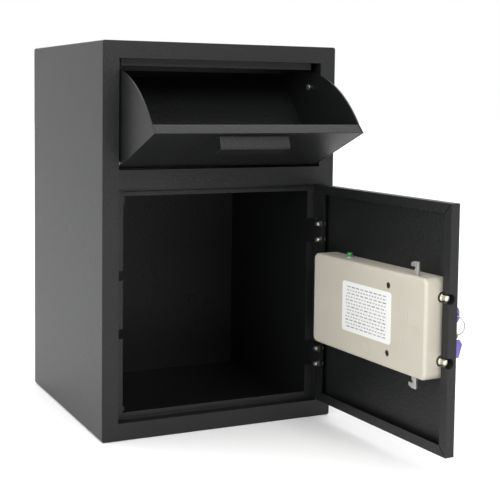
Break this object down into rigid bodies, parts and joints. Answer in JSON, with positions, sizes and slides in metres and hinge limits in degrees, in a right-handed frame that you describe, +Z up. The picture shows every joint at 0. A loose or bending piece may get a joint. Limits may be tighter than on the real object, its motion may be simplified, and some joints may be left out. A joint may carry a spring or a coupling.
{
  "type": "parcel drop box",
  "caption": "Sheet-steel parcel drop box with a tipping hopper above a side-hinged door that carries an electronic lock with round bolts, keypad, knob and emergency key.",
  "frame": {"origin": "centre of the cabinet's base, on the surface it stands on", "axes": "+Z up, +X to the right of a person facing the door opening, +Y from the front face into the cabinet; at rest the door is open 93 degrees and the hopper is tipped open 69 degrees"},
  "size_m": [0.3738, 0.5997, 0.5],
  "materials": {
    "powder_coat": "fine-textured satin powder coat",
    "plated_steel": "zinc plated",
    "nickel": "nickel plated, polished",
    "cover_plastic": "fine spark texture",
    "panel_plastic": "fine texture",
    "button_plastic": "satin",
    "rubber": "matt",
    "label_film": "printed film",
    "clear_plastic": "clear",
    "green_plastic": "gloss",
    "red_lens": "gloss lens",
    "blue_plastic": "translucent gloss",
    "circuit": "solder mask",
    "battery_wrap": "printed sleeve"
  },
  "bodies": {
    "cabinet": {"cabinet_shell": "powder_coat", "back_panel": "powder_coat", "front_frame": "powder_coat", "door_stop_latch_side": "powder_coat", "door_stop_hinge_side": "powder_coat", "door_stop_rails": "powder_coat", "hopper_header_strip": "powder_coat", "anti_fishing_baffle": "powder_coat", "hinge_brackets": "plated_steel", "hinge_pins": "plated_steel", "hopper_pivot_pins": "plated_steel"},
    "hopper": {"hopper_front_panel": "powder_coat", "hopper_liner": "powder_coat", "hopper_side_plate_left": "powder_coat", "hopper_side_plate_right": "powder_coat", "hopper_tray": "powder_coat", "hopper_handle": "powder_coat", "hopper_limit_pins": "plated_steel", "hopper_bumpers": "rubber"},
    "door": {"door_panel": "powder_coat", "hinge_arms": "powder_coat", "hinge_screws": "plated_steel", "hinge_nuts": "nickel", "lock_cover": "cover_plastic", "cover_screws": "plated_steel", "instruction_label": "label_film", "lock_base_plate": "plated_steel", "battery_cells": "battery_wrap", "battery_tray": "panel_plastic", "circuit_board": "circuit", "solenoid_body": "plated_steel", "lock_panel": "panel_plastic", "status_lens": "red_lens", "key_cylinder": "nickel", "reset_button_base": "clear_plastic"},
    "carriage": {"bolt_carriage": "plated_steel", "lock_bolts": "nickel", "rod_lugs": "plated_steel"},
    "knob": {"knob": "panel_plastic", "knob_spindle": "plated_steel"},
    "plunger": {"solenoid_plunger": "plated_steel"},
    "key": {"key_plug": "nickel", "key_blade": "nickel", "key_head": "blue_plastic"},
    "ring": {"key_ring": "plated_steel"},
    "spare_key": {"spare_key_head": "blue_plastic", "spare_key_blade": "nickel"},
    "reset_button": {"reset_button": "green_plastic"},
    "key_1": {"key_1": "button_plastic"},
    "key_2": {"key_2": "button_plastic"},
    "key_3": {"key_3": "button_plastic"},
    "key_4": {"key_4": "button_plastic"},
    "key_5": {"key_5": "button_plastic"},
    "key_6": {"key_6": "button_plastic"},
    "key_7": {"key_7": "button_plastic"},
    "key_8": {"key_8": "button_plastic"},
    "key_9": {"key_9": "button_plastic"},
    "key_clear": {"key_clear": "button_plastic"},
    "key_0": {"key_0": "button_plastic"},
    "key_enter": {"key_enter": "button_plastic"}
  },
  "joints": [
    {"name": "door_hinge", "type": "hinge", "parent": "cabinet", "child": "door", "pos_m": [0.1462, -0.1541, 0.17], "axis": [0, 0, 1], "range_deg": [-93, 0]},
    {"name": "hopper_hinge", "type": "hinge", "parent": "cabinet", "child": "hopper", "pos_m": [0, -0.155, 0.349], "axis": [1, 0, 0], "range_deg": [-69, 0]},
    {"name": "knob_turn", "type": "hinge", "parent": "door", "child": "knob", "pos_m": [0.17584, -0.35853, 0.17], "axis": [0.9986, 0.0523, 0], "range_deg": [0, 90]},
    {"name": "carriage_slide", "type": "slide", "parent": "door", "child": "carriage", "axis": [0.0523, -0.9986, 0], "range_m": [0, 0.017]},
    {"name": "plunger_slide", "type": "slide", "parent": "door", "child": "plunger", "axis": [0, 0, 1], "range_m": [0, 0.0015], "stiffness_N_per_m": 150, "springref_m": -0.002},
    {"name": "key_turn", "type": "hinge", "parent": "door", "child": "key", "pos_m": [0.17953, -0.39078, 0.177], "axis": [0.9986, 0.0523, 0], "range_deg": [-90, 0]},
    {"name": "ring_swing", "type": "hinge", "parent": "key", "child": "ring", "pos_m": [0.2013, -0.38964, 0.1758], "axis": [-0.6157, 0.788, 0], "range_deg": [-60, 10]},
    {"name": "spare_key_swing", "type": "hinge", "parent": "ring", "child": "spare_key", "pos_m": [0.2013, -0.38964, 0.1528], "axis": [0.0349, 0.9994, 0], "range_deg": [-60, 10]},
    {"name": "reset_press", "type": "slide", "parent": "door", "child": "reset_button", "axis": [0, 0, -1], "range_m": [0, 0.0015], "stiffness_N_per_m": 300, "springref_m": -0.001},
    {"name": "key_1_press", "type": "slide", "parent": "door", "child": "key_1", "axis": [-0.9986, -0.0523, 0], "range_m": [0, 0.001], "stiffness_N_per_m": 600, "springref_m": -0.0005},
    {"name": "key_2_press", "type": "slide", "parent": "door", "child": "key_2", "axis": [-0.9986, -0.0523, 0], "range_m": [0, 0.001], "stiffness_N_per_m": 600, "springref_m": -0.0005},
    {"name": "key_3_press", "type": "slide", "parent": "door", "child": "key_3", "axis": [-0.9986, -0.0523, 0], "range_m": [0, 0.001], "stiffness_N_per_m": 600, "springref_m": -0.0005},
    {"name": "key_4_press", "type": "slide", "parent": "door", "child": "key_4", "axis": [-0.9986, -0.0523, 0], "range_m": [0, 0.001], "stiffness_N_per_m": 600, "springref_m": -0.0005},
    {"name": "key_5_press", "type": "slide", "parent": "door", "child": "key_5", "axis": [-0.9986, -0.0523, 0], "range_m": [0, 0.001], "stiffness_N_per_m": 600, "springref_m": -0.0005},
    {"name": "key_6_press", "type": "slide", "parent": "door", "child": "key_6", "axis": [-0.9986, -0.0523, 0], "range_m": [0, 0.001], "stiffness_N_per_m": 600, "springref_m": -0.0005},
    {"name": "key_7_press", "type": "slide", "parent": "door", "child": "key_7", "axis": [-0.9986, -0.0523, 0], "range_m": [0, 0.001], "stiffness_N_per_m": 600, "springref_m": -0.0005},
    {"name": "key_8_press", "type": "slide", "parent": "door", "child": "key_8", "axis": [-0.9986, -0.0523, 0], "range_m": [0, 0.001], "stiffness_N_per_m": 600, "springref_m": -0.0005},
    {"name": "key_9_press", "type": "slide", "parent": "door", "child": "key_9", "axis": [-0.9986, -0.0523, 0], "range_m": [0, 0.001], "stiffness_N_per_m": 600, "springref_m": -0.0005},
    {"name": "key_clear_press", "type": "slide", "parent": "door", "child": "key_clear", "axis": [-0.9986, -0.0523, 0], "range_m": [0, 0.001], "stiffness_N_per_m": 600, "springref_m": -0.0005},
    {"name": "key_0_press", "type": "slide", "parent": "door", "child": "key_0", "axis": [-0.9986, -0.0523, 0], "range_m": [0, 0.001], "stiffness_N_per_m": 600, "springref_m": -0.0005},
    {"name": "key_enter_press", "type": "slide", "parent": "door", "child": "key_enter", "axis": [-0.9986, -0.0523, 0], "range_m": [0, 0.001], "stiffness_N_per_m": 600, "springref_m": -0.0005}
  ],
  "couplings": [
    {"joint": "knob_turn", "follows": "carriage_slide", "rad_per_m": 92.399}
  ]
}
